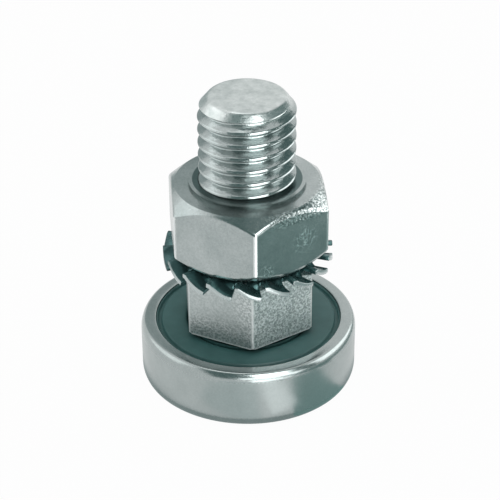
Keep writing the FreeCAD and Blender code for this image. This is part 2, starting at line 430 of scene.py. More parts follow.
# %% Threaded rod
groove_at_front = 35.8 * mm
turn_steps = 96
turn_joint = 0.01 * mm


def thread_rod(name, grow, low, high):
    """A closed threaded rod that covers low to high, with a groove facing the front at its known height."""
    front_to_start = thread_pitch / 4
    start = groove_at_front + front_to_start
    start -= math.ceil((start - low) / thread_pitch + 1) * thread_pitch
    piece = draw_row(name, thread_profile(grow, start))
    change(
        piece,
        "SCREW",
        axis="Z",
        angle=2 * math.pi,
        screw_offset=thread_pitch,
        iterations=math.ceil((high - start) / thread_pitch) + 1,
        steps=turn_steps,
        render_steps=turn_steps,
    )
    open_up(piece)
    bpy.ops.mesh.select_all(action="SELECT")
    bpy.ops.mesh.remove_doubles(threshold=turn_joint)
    middle = (low + high) / 2
    for above in (False, True):
        open_up(piece)
        bpy.ops.mesh.select_non_manifold()
        mesh = bmesh.from_edit_mesh(piece.data)
        for point in mesh.verts:
            point.select = point.select and (point.co.z > middle) == above
        mesh.select_flush_mode()
        bmesh.update_edit_mesh(piece.data)
        bpy.ops.mesh.extrude_region_move()
        bpy.ops.mesh.merge(type="CENTER")
    return close_up(piece, smooth_angle=40)


print("sides in one turn of the thread:", turn_steps)

# %% [markdown]
# ## Stud: journal and collar
#
# The stud is one piece of plated steel. Its journal is staked into the bearing, and a thin collar carries
# the hexagon shoulder above it. All of this was turned, so it is extruded from one circle. It goes on up
# through the hexagon to the relief groove, where the thread will join it.

# %% Stud: journal and collar
stud_low, stud_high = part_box("stud")
bearing_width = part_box("inner_ring")[1].z
journal_radius = 7.5 * mm
staked_edge = 0.3 * mm
collar_radius = 8.7 * mm
hex_low = bearing_width + 0.4 * mm
hex_high = hex_low + 10.3 * mm
inside_hex = hex_low + 2 * mm
relief_radius = 5.75 * mm
relief_high = hex_high + 1.5 * mm
inside_thread = relief_high + 0.3 * mm

stud = turned(
    "threaded_stud",
    [
        (journal_radius + staked_edge, stud_low.z),
        (journal_radius, stud_low.z + staked_edge),
        (journal_radius, bearing_width),
        (collar_radius, bearing_width),
        (collar_radius, inside_hex),
        (relief_radius, inside_hex),
        (relief_radius, inside_thread),
    ],
    closed=False,
)
print("relief groove ends at, mm:", round(relief_high / mm, 2))

# %% [markdown]
# ## Stud: hexagon shoulder
#
# The shoulder takes a spanner. Its flats and edges are crisp, its top is turned to a shallow cone, and
# its lower corners are slightly broken. It could be extruded from a six-sided circle, but only the trim
# gives the arcs where its cone meets the flats. A boolean joins it to the turned bar.

# %% Stud: hexagon shoulder
hex_flats = 18 * mm
hex_corner = hex_flats / math.sqrt(3)
hex_edge_round = 0.12 * mm
hex_break = 0.3 * mm
broken_end = (hex_corner - hex_break, 45)
coned_end = (hex_flats / 2 - hex_break, 30)
shoulder = trimmed_hexagon(
    "shoulder", hex_flats, hex_low, hex_high, 0, hex_edge_round, broken_end, coned_end
)
combine(stud, shoulder, "UNION")
print("hexagon from", round(hex_low / mm, 2), "to", round(hex_high / mm, 2), "mm")

# %% [markdown]
# ## Stud: thread
#
# The right-hand thread runs out across the tip's chamfer and into the relief groove. Both run-outs come
# by themselves when the threaded rod is trimmed by a turned blank that has the slope of the groove, the
# chamfer and the softened edge of the tip. A boolean then joins thread and stud.

# %% Stud: thread
tip_radius = 5.52 * mm
tip_chamfer = 1.8 * mm
tip_ease = 0.4 * mm
blank_foot = relief_radius - 0.05 * mm
outside = thread_crest + 0.4 * mm
chamfer_drop = tip_chamfer * (outside - tip_radius) / (thread_crest - tip_radius)
chamfer_foot = (outside, stud_high.z - chamfer_drop)

thread = thread_rod("thread", 0, relief_high - 2 * mm, stud_high.z)
thread_blank = turned(
    "thread_blank",
    [
        (blank_foot, relief_high - 1 * mm),
        (blank_foot, relief_high),
        (outside, relief_high + outside - relief_radius),
        chamfer_foot,
        *eased_corner(chamfer_foot, (tip_radius, stud_high.z), (0, stud_high.z), tip_ease),
    ],
    closed=False,
)
combine(thread, thread_blank, "INTERSECT")
combine(stud, thread, "UNION")
hold_flats(close_up(stud, smooth_angle=38))
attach(stud, "axle")
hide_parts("stud")
print("stud has", len(stud.data.polygons), "faces")

# %% [markdown]
# ## Nut: outside
#
# A plain hexagon nut, chamfered on both ends, so that each flat ends in two arcs. The photograph shows a
# soft bright line along the arcs and the front edge. The upright edges could be rounded before the trim,
# but the corners where they meet the arcs are cleaner when one Bevel modifier rounds them all together.

# %% Nut: outside
nut_low, nut_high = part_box("nut")
nut_flats = 22 * mm
nut_turn = 1.5
nut_face_share = 0.955
nut_face = nut_face_share * nut_flats / 2
nut_end = (nut_face, 40)
nut_edge_round = 0.34 * mm
nut = trimmed_hexagon("hexagon_nut", nut_flats, nut_low.z, nut_high.z, nut_turn, 0, nut_end, nut_end)
ease_edges(nut, nut_edge_round, least_angle=45, segments=4)
close_up(nut)
print("nut is, mm high:", round((nut_high.z - nut_low.z) / mm, 2))

# %% [markdown]
# ## Nut: threaded hole
#
# The hole is made as in a workshop. A drill with a countersink at both ends goes through first. Then a
# tap, which is the stud's own thread with a little clearance, cuts the thread, so the two threads run in
# step when the nut turns.

# %% Nut: threaded hole
countersink = 7.95 * mm
tap_clearance = 0.1 * mm
root_allowance = 0.05 * mm
drill_radius = thread_root + tap_clearance + root_allowance
drill_past = 0.5 * mm
tap_past = 3 * mm
drill = turned(
    "drill",
    [
        (countersink + drill_past, nut_low.z - drill_past),
        (drill_radius, nut_low.z + countersink - drill_radius),
        (drill_radius, nut_high.z - countersink + drill_radius),
        (countersink + drill_past, nut_high.z + drill_past),
    ],
    closed=False,
)
combine(nut, drill, "DIFFERENCE")
tap = thread_rod("tap", tap_clearance, nut_low.z - tap_past, nut_high.z + tap_past)
combine(nut, tap, "DIFFERENCE")
hold_flats(close_up(nut))
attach(nut, "clamp_nut")
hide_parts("nut")
print("nut has", len(nut.data.polygons), "faces")

# %% [markdown]
# ## Fan lock washer: the stamped sheet
#
# The washer is stamped from spring steel: a flat ring with eighteen teeth. One tooth could be copied
# round, but its root would have to be sewn to the ring. Here the whole sheet grows from one circle: it is
# extruded to the ring's edge, then only the teeth's edges go on to the tip, which leaves the gaps open.
# Each tooth has an even number of steps, so that one column of points lies on its middle line.

# %% Fan lock washer: the stamped sheet
washer_low, washer_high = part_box("lock_washer")
washer_middle = (washer_low.z + washer_high.z) / 2
washer_bore = 7.5 * mm
washer_ring = 9.6 * mm
washer_tip = 12.4 * mm
tooth_count = 18
tooth_steps = 8
tooth_centre = math.radians(-93.4)
tooth_pitch = 2 * math.pi / tooth_count
column_angle = tooth_pitch / (tooth_steps + 1)
edge_reach = 0.01 * mm
tooth_rows = {9.75 * mm: 0.2, 10.0 * mm: 0.65, 10.3 * mm: 1.0, 11.4 * mm: 1.0, washer_tip: 1.0}


def across_tooth(place):
    """How far a point lies from the middle of its tooth, as an angle that grows anticlockwise."""
    angle = math.atan2(place.y, place.x) - tooth_centre
    return (angle + tooth_pitch / 2) % tooth_pitch - tooth_pitch / 2


def under_tooth(one, other):
    """Whether an edge lies on the ring's outer edge and under a tooth, not under a gap."""
    on_ring_edge = min(one.xy.length, other.xy.length) > washer_ring - edge_reach
    return on_ring_edge and abs(across_tooth((one + other) / 2)) < tooth_pitch / 2 - column_angle / 4


clear_selection()
bpy.ops.mesh.primitive_circle_add(
    vertices=tooth_count * (tooth_steps + 1),
    radius=washer_bore,
    location=(0, 0, washer_middle),
    rotation=(0, 0, tooth_centre - math.pi / 2),
)
washer = bpy.context.object
washer.name = "fan_washer"
bpy.ops.object.transform_apply(location=True, rotation=True, scale=True)
bpy.ops.object.mode_set(mode="EDIT")
bpy.ops.mesh.select_mode(type="EDGE")
bpy.ops.mesh.select_all(action="SELECT")
extrude_along([(washer_bore, washer_middle), (washer_ring, washer_middle)])
pick_edges(washer, under_tooth)
extrude_along([(radius, washer_middle) for radius in [washer_ring, *tooth_rows]])
print("washer sheet has", len(bmesh.from_edit_mesh(washer.data).faces), "faces")

# %% [markdown]
# ## Fan lock washer: the twist
#
# A press twists each tooth about its own radial line, so that one end bites into the nut and the other
# into the part below. The twist grows from the root outwards, and across the tooth it is a soft S with a
# small hook at the upper end. A plain rotation would leave the teeth flat, so columns of points are
# lifted or lowered to that curve. A Solidify modifier gives the sheet its thickness, and the sheared
# edges are eased a little.

# %% Fan lock washer: the twist
tooth_lift = 0.78 * mm
tooth_hook = 0.12
tooth_bend = 1.6
row_reach = 0.02 * mm
washer_sheet = 0.7 * mm
sheared_round = 0.12 * mm

bpy.ops.mesh.select_mode(type="VERT")
for radius, share in tooth_rows.items():
    for column in range(tooth_steps + 1):
        across = (column - tooth_steps / 2) * column_angle
        fall = max(0, column / tooth_steps - tooth_hook) / (1 - tooth_hook)
        lift = share * tooth_lift * (2 * (1 - fall) ** tooth_bend - 1)
        pick_points(
            washer,
            lambda place: abs(place.xy.length - radius) < row_reach
            and abs(across_tooth(place) - across) < column_angle / 4,
        )
        bpy.ops.transform.translate(value=(0, 0, lift))
close_up(washer)
change(washer, "SOLIDIFY", thickness=washer_sheet, offset=0, use_even_offset=True)
ease_edges(washer, sheared_round, least_angle=50)
bpy.ops.object.shade_smooth_by_angle(angle=math.radians(40))
hold_flats(washer)
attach(washer, "fan_washer")
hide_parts("lock_washer")
heights = [point.co.z for point in washer.data.vertices]
print("washer from", round(min(heights) / mm, 3), "to", round(max(heights) / mm, 3), "mm")

# %% [markdown]
# ## Bearing: outer ring
#
# The outer ring is turned and ground, and it is the tread itself. Its edges are eased by a long, soft
# corner that catches the light, a small lip leads into the seal's seat, and the ball race is a true arc.
# All of it goes into one outline. The bearing is the same on both sides, so the lower half is the upper
# one mirrored.

# %% Bearing: outer ring
seal_low, seal_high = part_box("seal_upper")
tread_radius = 16 * mm
corner_wide = 0.85 * mm
corner_deep = 1.6 * mm
seal_radius = seal_high.x
seal_depth = bearing_width - seal_low.z
seat_lip = 0.12 * mm
mid_height = bearing_width / 2
ball_circle = 11.75 * mm
race_radius = 2.44 * mm
shoulder_step = 1.547 * mm


def race_arc(side, steps=12):
    """Outline points of a ball race, upwards: side is 1 in the outer ring and -1 in the inner one."""
    open_angle = math.acos(shoulder_step / race_radius)
    points = []
    for step in range(steps + 1):
        angle = open_angle * (2 * step / steps - 1)
        radius = ball_circle + side * race_radius * math.cos(angle)
        points.append((radius, mid_height + race_radius * math.sin(angle)))
    return points


def mirrored(points):
    """The same outline points on the other side of the bearing, in the opposite order."""
    return [(radius, bearing_width - height) for radius, height in reversed(points)]


upper_half = [
    (seal_radius, bearing_width - seal_depth),
    (seal_radius, bearing_width - seat_lip),
    (seal_radius + 0.3 * seat_lip, bearing_width - 0.3 * seat_lip),
    (seal_radius + seat_lip, bearing_width),
    *quarter_round(tread_radius - corner_wide, bearing_width, corner_wide, corner_deep),
]
outer_outline = upper_half + mirrored(upper_half)
outer_outline += [(ball_circle + shoulder_step, seal_depth)] + race_arc(1)
outer_outline += [(ball_circle + shoulder_step, bearing_width - seal_depth)]
outer_ring = turned("tread_ring", outer_outline, closed=True, sides=ring_sides)
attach(outer_ring, "roller")
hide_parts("outer_ring")
print("tread ring has", len(outer_ring.data.polygons), "faces")

# %% [markdown]
# ## Bearing: inner ring
#
# The inner ring sits on the journal under the hexagon, and only a narrow land of it can be seen beside
# the seal. It is turned from the same kind of outline: lands for the seals, a chamfered bore and the
# inner half of the ball race.

# %% Bearing: inner ring
land_radius = 8.99 * mm
land_ease = 0.1 * mm
below_seal = 0.1 * mm
land_depth = seal_depth + below_seal
bore_ease = 0.6 * mm
upper_land = [
    (ball_circle - shoulder_step, bearing_width - land_depth),
    (land_radius, bearing_width - land_depth),
    (land_radius, bearing_width - land_ease),
    (land_radius - land_ease, bearing_width),
    (journal_radius + bore_ease, bearing_width),
    (journal_radius, bearing_width - bore_ease),
]
inner_outline = upper_land + mirrored(upper_land) + race_arc(-1)
inner_ring = turned("journal_ring", inner_outline, closed=True)
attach(inner_ring, "axle")
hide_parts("inner_ring")
print("journal ring has", len(inner_ring.data.polygons), "faces")

# %% [markdown]
# ## Rubber seals
#
# A moulded rubber washer closes each side of the bearing. Its rim is pressed into the outer ring as a
# round bead, a narrow groove runs just inside it, and a soft lip almost touches the inner ring. Moulded
# rubber has no sharp edges. A Bevel modifier would round them all alike, so the outline gives each edge
# its own few points, in millimetres: how far in from the rim, or out from the lip, and how far below the
# top. The lower seal is the mirrored outline.

# %% Rubber seals
bead = [(0.01, 0.12), (0.06, 0.03), (0.14, 0), (0.22, 0.03), (0.3, 0.12)]
groove = [(0.36, 0.4), (0.8, 0.4), (0.9, 0.12), (0.98, 0.03), (1.1, 0)]
soft_lip = [(0.5, 0), (0.2, 0.04), (0.05, 0.15), (0, 0.35)]
seal_top = seal_high.z
seat_gap = 0.01 * mm
seal_foot = seal_low.z + seat_gap
lip_gap = 0.1 * mm
lip_radius = land_radius + lip_gap
seal_outline = [(seal_radius - seat_gap, seal_foot)]
seal_outline += [(seal_radius - inset * mm, seal_top - drop * mm) for inset, drop in bead + groove]
seal_outline += [(lip_radius + out * mm, seal_top - drop * mm) for out, drop in soft_lip]
seal_outline += [(lip_radius, seal_foot)]
for name, node, outline in (
    ("upper_seal", "seal_upper", seal_outline),
    ("lower_seal", "seal_lower", mirrored(seal_outline)),
):
    seal = turned(name, outline, closed=True, sides=ring_sides)
    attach(seal, "roller")
    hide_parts(node)
print("seal width, mm:", round((seal_radius - lip_radius) / mm, 2))

# %% [markdown]
# ## Finishes
#
# A finish is a small network of nodes. It could be linked node by node, but that hides what it says. Here
# a wire between nodes is wrapped in a class that knows arithmetic: an expression on wires adds the Math
# nodes that it needs, and one method adds any other node. All patterns read Object coordinates in metres,
# so a noise scale of 1000 makes spots of about a millimetre.

# %% Wires
def feed(node, inputs):
    """Link wires to a node's sockets, or set the sockets to plain values."""
    for key, value in inputs.items():
        if isinstance(value, Wire):
            value.tree.links.new(value.socket, node.inputs[key])
        else:
            node.inputs[key].default_value = value


class Wire:
    """A socket of a node, with arithmetic. Without a socket it only adds nodes to its tree."""

    def __init__(self, tree, socket=None):
        self.tree = tree
        self.socket = socket

    def node(self, kind, settings, inputs, output=0):
        """Add a node: its type, its settings, the values or wires of its sockets, and the output to use."""
        made = self.tree.nodes.new(kind)
        for key, value in settings.items():
            setattr(made, key, value)
        feed(made, inputs)
        return Wire(self.tree, made.outputs[output])

    def math(self, operation, *values):
        """A Math node on these values."""
        return self.node("ShaderNodeMath", {"operation": operation}, dict(enumerate(values)))

    def __add__(self, other):
        return self.math("ADD", self, other)

    __radd__ = __add__

    def __mul__(self, other):
        return self.math("MULTIPLY", self, other)

    __rmul__ = __mul__

    def __sub__(self, other):
        return self.math("SUBTRACT", self, other)

    def __rsub__(self, other):
        return self.math("SUBTRACT", other, self)

    def __abs__(self):
        return self.math("ABSOLUTE", self)

    def or_more(self, other):
        """The larger of two values."""
        return self.math("MAXIMUM", self, other)

    def between(self, low, high):
        """This value stretched so that low becomes 0 and high becomes 1, and kept in that range."""
        return self.node("ShaderNodeMapRange", {"clamp": True}, {0: self, 1: low, 2: high})

    def blend(self, one, other):
        """A colour between two, chosen by this value. Sockets 6 and 7 of a Mix node take colours."""
        return self.node("ShaderNodeMix", {"data_type": "RGBA"}, {0: self, 6: one, 7: other}, 2)

    def as_bump(self, depth):
        """Surface directions as if this value were a height, with 1 as high as the depth."""
        return self.node("ShaderNodeBump", {}, {"Strength": 1, "Distance": depth, "Height": self})

    def noise(self, scale, detail=2, roughness=0.5):
        """Noise on this wire's coordinates."""
        inputs = {"Vector": self, "Scale": scale, "Detail": detail, "Roughness": roughness}
        return self.node("ShaderNodeTexNoise", {"noise_dimensions": "3D"}, inputs)

    def part(self, axis):
        """One coordinate of this wire."""
        return self.node("ShaderNodeSeparateXYZ", {}, {0: self}, axis)

    def around_axis(self):
        """The distance of this wire's coordinates from the Z axis."""
        flat = self.node("ShaderNodeVectorMath", {"operation": "MULTIPLY"}, {0: self, 1: (1, 1, 0)})
        return self.node("ShaderNodeVectorMath", {"operation": "LENGTH"}, {0: flat}, "Value")

    def away_from(self, spot):
        """The distance of this wire's coordinates from a spot."""
        return self.node("ShaderNodeVectorMath", {"operation": "DISTANCE"}, {0: self, 1: spot}, "Value")


print("a wire knows", [name for name in vars(Wire) if not name.startswith("_")])

# %% [markdown]
# ### Starting a finish
#
# Every finish begins in the same way, with a Principled shader and the Object coordinates of its piece.
# Wires and plain values are then fed to the shader, where a later wire takes the place of an earlier one,
# and the material goes on its pieces.

# %% Starting a finish
def new_finish(name):
    """A material with its shader node and a wire of its Object coordinates."""
    material = bpy.data.materials.new(name)
    material.use_nodes = True
    where = Wire(material.node_tree).node("ShaderNodeTexCoord", {}, {}, "Object")
    return material, material.node_tree.nodes["Principled BSDF"], where


def dress(material, *pieces):
    """Give pieces this material alone."""
    for piece in pieces:
        piece.data.materials.clear()
        piece.data.materials.append(material)
        print(piece.name, "wears", material.name)


print("materials before the first finish:", len(bpy.data.materials))

# %% [markdown]
# ### Plated steel
#
# The stud and the nut are plated with zinc, then slightly dulled, and the other steel pieces differ from
# them mainly in tone. One flat colour would look like paint, because no plating is even: it has wide
# cloudy patches and fine grains, which glitter where light and dark reflections meet. Clouds and grains
# go into the colour and the roughness, grains alone into the bump.

# %% Plated steel
plated_metal = 0.88


def plated(name, pale, dull, depth, smooth, metal=plated_metal):
    """A steel with two tones, the depth of its grain, its least roughness and how much it mirrors."""
    material, shader, where = new_finish(name)
    cloud = where.noise(220, 4, 0.6)
    speck = where.noise(3400, 2, 0.6)
    fine = where.noise(9000, 2, 0.5)
    tone = cloud.between(0.3, 0.7) * 0.6 + speck.between(0.3, 0.7) * 0.4
    colour = tone.blend(dull, pale)
    feed(shader, {
        "Base Color": colour,
        "Metallic": metal,
        "Roughness": smooth + speck * 0.08 + cloud * 0.08,
        "Normal": (speck + fine * 0.3).as_bump(depth),
    })
    return SimpleNamespace(material=material, shader=shader, where=where, speck=speck, colour=colour)


pale_zinc = (0.46, 0.505, 0.50, 1)
dull_zinc = (0.35, 0.40, 0.395, 1)
zinc = plated("stud_plating", pale_zinc, dull_zinc, depth=0.010 * mm, smooth=0.10)
dress(zinc.material, stud)

# %% [markdown]
# ### Stud: grain of the hexagon
#
# The hexagon keeps the coarse grain of the rolled bar. Its dark and pale grains are laid over the plating
# as painted glints, by a mask of height and side: most on the right-hand faces and near the foot, where the
# reflections are dark. The edges get a painted highlight, partly as wear. There the metal mirrors less,
# which keeps them pale beside the dark seal.

# %% Stud: grain of the hexagon
dark_speckle = (0.30, 0.35, 0.345, 1)
pale_speckle = (0.80, 0.84, 0.835, 1)
bright_zinc = (0.85, 0.89, 0.88, 1)
stud_height = zinc.where.part("Z")
stud_radius = zinc.where.around_axis()
above_foot = stud_height.between(hex_low, hex_low + 0.1 * mm)
on_hexagon = above_foot - stud_height.between(hex_high - 0.2 * mm, hex_high)
to_right = zinc.where.part("X").between(-3 * mm, 1 * mm)
to_foot = 1 - stud_height.between(hex_low + 2.2 * mm, hex_low + 4.4 * mm)
# Painted glints: dark and pale grains, strongest on the right-hand faces and near the foot.
grain_and_glint_mask = on_hexagon * (to_right.or_more(to_foot * 0.5) * 0.75 + 0.2)
bar_grain = zinc.where.noise(3000, 2, 0.7)
grain_and_glitter = bar_grain.between(0.4, 0.6).blend(dark_speckle, pale_speckle)
stud_colour = grain_and_glint_mask.blend(zinc.colour, grain_and_glitter)

# Painted highlight along the hexagon's upright and lower edges, partly wear.
upright_edge = stud_radius.between(hex_corner - 0.14 * mm, hex_corner - 0.08 * mm)
lower_edge = 1 - stud_height.between(hex_low + 0.16 * mm, hex_low + 0.34 * mm)
rubbed_highlight = on_hexagon * upright_edge.or_more(lower_edge)
stud_colour = (rubbed_highlight * 0.75).blend(stud_colour, bright_zinc)
feed(zinc.shader, {"Metallic": plated_metal - rubbed_highlight * 0.6})
print("nodes in the stud's plating:", len(zinc.material.node_tree.nodes))

# %% [markdown]
# ### Stud: thread and tip
#
# Painted shade darkens the roots of the thread. The tip was sawn off and chamfered: it is paler, blotchy
# and rougher. A rolled thread is also slightly wavy, which breaks up its long reflections, so a wider noise
# joins the bump there. The narrow gap under the hexagon lies in deep shade and gets a dark tone.

# %% Stud: thread and tip
root_shade = (0.10, 0.16, 0.155, 1)
dull_tip = (0.46, 0.51, 0.50, 1)
pale_tip = (0.70, 0.74, 0.73, 1)
gap_shade = (0.05, 0.09, 0.09, 1)
tip_top = stud_high.z
roots = 1 - stud_radius.between(thread_root + 0.05 * mm, thread_root + 0.7 * mm)
below_tip = 1 - stud_height.between(tip_top - 2.2 * mm, tip_top - 1.7 * mm)
# Painted shade in the roots of the thread.
stud_colour = (roots * below_tip * 0.2).blend(stud_colour, root_shade)
chamfered = stud_height.between(tip_top - 1.75 * mm, tip_top - 1.55 * mm)
blotches = zinc.where.noise(700, 4, 0.65).between(0.3, 0.7)
stud_colour = chamfered.blend(stud_colour, blotches.blend(dull_tip, pale_tip))
above_bearing = stud_height.between(bearing_width - 0.05 * mm, bearing_width)
in_gap = above_bearing - stud_height.between(hex_low, hex_low + 0.05 * mm)
stud_colour = in_gap.blend(stud_colour, gap_shade)

sawn = stud_height.between(tip_top - 0.10 * mm, tip_top - 0.02 * mm)
on_thread = stud_height.between(hex_high, relief_high)
stud_rough = on_hexagon * 0.22 + sawn * 0.13 + chamfered * 0.11 + on_thread * 0.05 + 0.08
relief = grain_and_glint_mask * bar_grain * 12 + zinc.speck + on_thread * zinc.where.noise(900, 3, 0.6) * 5
feed(zinc.shader, {
    "Base Color": stud_colour,
    "Roughness": stud_rough + zinc.speck * 0.1,
    "Normal": relief.as_bump(0.01 * mm),
})
print("nodes with thread and tip:", len(zinc.material.node_tree.nodes))

# %% [markdown]
# ### Nut: scratches and hollow
#
# The nut's plating is smoother and has been handled with a spanner. Scratches could be modelled as
# grooves, but they are far thinner than a pixel. Here they are the lines along which a noise passes
# through its middle value, kept to two worn spots. The corners get a painted highlight, partly worn
# bright. The hole gets a painted shade, a little lighter at the front.

# %% Nut: scratches and hollow
pale_nut = (0.47, 0.515, 0.51, 1)
dull_nut = (0.30, 0.35, 0.345, 1)
rubbed_corner_highlight = (0.72, 0.76, 0.755, 1)
hole_shade = (0.05, 0.10, 0.097, 1)
worn_spots = {
    (7.6 * mm, -8.3 * mm, 26.6 * mm): 2.6 * mm,
    (1.9 * mm, -11.6 * mm, 23.4 * mm): 1.6 * mm,
}
nut_zinc = plated("nut_plating", pale_nut, dull_nut, depth=0.008 * mm, smooth=0.13)
nut_where = nut_zinc.where
scratches = sum(1 - abs(nut_where.noise(scale) - 0.5).between(0.005, 0.018) for scale in (620, 940))
worn = sum(1 - nut_where.away_from(spot).between(reach * 0.4, reach) for spot, reach in worn_spots.items())
nut_colour = (scratches * worn * 0.9).blend(nut_zinc.colour, bright_zinc)
nut_radius = nut_where.around_axis()
# Painted highlight along the nut's upright corners, partly wear.
at_corner = nut_radius.between(nut_flats / 2 + 1.49 * mm, nut_flats / 2 + 1.57 * mm)
nut_colour = at_corner.blend(nut_colour, rubbed_corner_highlight)
# Painted shade in the hole, lighter towards the front.
hollow = 0.9 - 0.9 * nut_radius.between(countersink - 0.1 * mm, countersink)
hollow = hollow * (nut_where.part("Y").between(-7 * mm, -3 * mm) * 0.5 + 0.5)
nut_colour = hollow.blend(nut_colour, hole_shade)
dress(nut_zinc.material, nut)

# %% [markdown]
# ### Nut: glitter on the chamfer
#
# On the right-hand chamfer the plating is coarse, and its grains get painted glints, bright and dark. A
# mask of height, radius and side keeps this painted glitter there. The same grains go into the bump,
# weakly on the whole nut and strongly in the mask.

# %% Nut: glitter on the chamfer
dark_glint = (0.10, 0.15, 0.145, 1)
coarse = nut_where.noise(3000, 2, 0.7)
on_top = nut_where.part("Z").between(nut_high.z - 2.3 * mm, nut_high.z - 1.9 * mm)
on_rim = nut_radius.between(nut_face - 0.5 * mm, nut_face + 0.3 * mm)
in_front = 1 - nut_where.part("Y").between(0, 3 * mm)
at_right = nut_where.part("X").between(1.5 * mm, 5 * mm)
# Painted glints on the right-hand chamfer, bright and dark.
glitter = on_top * on_rim * in_front * at_right * 0.6
painted_glints = coarse.between(0.45, 0.55).blend(dark_glint, bright_zinc)
struck = nut_zinc.speck + coarse * (1.0 + glitter * 8)
feed(nut_zinc.shader, {
    "Base Color": glitter.blend(nut_colour, painted_glints),
    "Normal": struck.as_bump(0.008 * mm),
})
print("nodes in the nut's plating:", len(nut_zinc.material.node_tree.nodes))

# %% [markdown]
# ### Spring steel
#
# The washer is darker than the other pieces, because spring steel keeps a thin oily film. Only the
# sheared ends of its teeth are bright metal. The far left tooth gets a painted shade that makes it almost
# black, and there its end stays dark too. Both places are masks on one finish, which is simpler than
# separate materials on some of the faces.

# %% Spring steel
pale_film = (0.10, 0.20, 0.20, 1)
dull_film = (0.06, 0.14, 0.14, 1)
far_left_shade = (0.03, 0.07, 0.07, 1)
bare_end = (0.52, 0.58, 0.575, 1)
spring = plated("spring_steel", pale_film, dull_film, depth=0.006 * mm, smooth=0.18, metal=0.6)
# Painted shade on the far left tooth, which also keeps its end dark.
far_left = 1 - spring.where.part("X").between(-12 * mm, -10.8 * mm)
film_and_shade = (far_left * 0.7).blend(spring.colour, far_left_shade)
tooth_end = spring.where.around_axis().between(washer_tip - 0.1 * mm, washer_tip - 0.05 * mm)
feed(spring.shader, {"Base Color": (tooth_end * (1 - far_left)).blend(film_and_shade, bare_end)})
dress(spring.material, washer)

# %% [markdown]
# ### Ring steel
#
# The tread is ground to a satin finish, and its rounded corners were tumbled a little smoother, which
# makes their highlight crisper. So the roughness falls with the distance from the ring's middle height.
# The inner ring gets a painted shade: a dark tone that hardly mirrors at all.

# %% Ring steel
pale_ground = (0.42, 0.465, 0.46, 1)
dull_ground = (0.33, 0.375, 0.37, 1)
pale_inner_shade = (0.03, 0.09, 0.087, 1)
dull_inner_shade = (0.022, 0.075, 0.072, 1)
ground = plated("ground_steel", pale_ground, dull_ground, depth=0.006 * mm, smooth=0.24)
from_middle = abs(ground.where.part("Z") - mid_height)
tumbled = from_middle.between(mid_height - corner_deep, mid_height - 0.75 * corner_deep)
feed(ground.shader, {"Roughness": 0.28 + ground.speck * 0.08 - tumbled * 0.10})
dress(ground.material, outer_ring)
# Painted shade: the inner ring is dark and hardly mirrors.
shaded_inner = plated("inner_ring_shade", pale_inner_shade, dull_inner_shade, depth=0.004 * mm, smooth=0.4, metal=0)
feed(shaded_inner.shader, {"Specular IOR Level": 0.1})
dress(shaded_inner.material, inner_ring)

# %% [markdown]
# ### Seal rubber
#
# The seals are dark rubber with a faint sheen. Plain black would swallow their shape, so wide clouds vary
# a dark tone, as mould release leaves them, and a fine grain breaks up the sheen.

# %% Seal rubber
dark_rubber = (0.034, 0.116, 0.111, 1)
pale_rubber = (0.050, 0.150, 0.144, 1)
rubber, shader, where = new_finish("seal_rubber")
speck = where.noise(4000)
feed(shader, {
    "Base Color": where.noise(300, 3).between(0.3, 0.7).blend(dark_rubber, pale_rubber),
    "Roughness": 0.46 + speck * 0.12,
    "Specular IOR Level": 0.45,
    "Normal": speck.as_bump(0.004 * mm),
})
dress(rubber, bpy.data.objects["upper_seal"], bpy.data.objects["lower_seal"])

# %% [markdown]
# ### Inner pieces
#
# The balls and the cage lie behind the seals. Their solids have all the shape that they need, so they
# stay as they are and only get a polished and a pressed steel.

# %% Inner pieces
pale_pressed = (0.55, 0.56, 0.55, 1)
dull_pressed = (0.45, 0.46, 0.45, 1)
pale_polish = (0.75, 0.76, 0.76, 1)
dull_polish = (0.70, 0.71, 0.71, 1)
pressed = plated("pressed_steel", pale_pressed, dull_pressed, depth=0.004 * mm, smooth=0.3)
polished = plated("polished_steel", pale_polish, dull_polish, depth=0.001 * mm, smooth=0.05)
for node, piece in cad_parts.items():
    if node.startswith("cage"):
        dress(pressed.material, piece)
    if node.startswith("ball"):
        dress(polished.material, piece)

# %% [markdown]
# ## Studio: floor
#
# The photograph is a studio shot on white. A white floor under strong lamps would bleach the steel as
# well, so the floor glows white only to the camera and to the reflections in the metal. Rays that carry
# the general light meet a calmer grey, and the floor keeps a little of the object's shadow. A Light Path
# node tells the rays apart.

# %% Studio: floor
def white_to_sight(tree, share):
    """A wire that is `share` for what the camera, a mirror or a glass sees, and 0 for other light."""
    start = Wire(tree)
    sight = start.node("ShaderNodeLightPath", {}, {}, "Is Camera Ray")
    for ray in ("Is Glossy Ray", "Is Transmission Ray"):
        sight = sight.or_more(start.node("ShaderNodeLightPath", {}, {}, ray))
    return sight * share


floor_radius = 1.5
paper_grey = (0.85, 0.86, 0.86, 1)
white_share = 0.97
clear_selection()
bpy.ops.mesh.primitive_circle_add(vertices=96, radius=floor_radius, fill_type="NGON", location=(0, 0, 0))
floor = bpy.context.object
floor.name = "floor"
floor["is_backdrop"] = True
paper = bpy.data.materials.new("floor_paper")
paper.use_nodes = True
tree = paper.node_tree
tree.nodes.remove(tree.nodes["Principled BSDF"])
paint = Wire(tree).node("ShaderNodeBsdfDiffuse", {}, {"Color": paper_grey})
glow = Wire(tree).node("ShaderNodeEmission", {}, {})
seen = white_to_sight(tree, white_share)
blended = seen.node("ShaderNodeMixShader", {}, {0: seen, 1: paint, 2: glow})
feed(tree.nodes["Material Output"], {"Surface": blended})
dress(paper, floor)

# %% [markdown]
# ## Studio: surroundings
#
# The world does the same: it is white to sight and to reflections, and lights the object with an even
# grey.

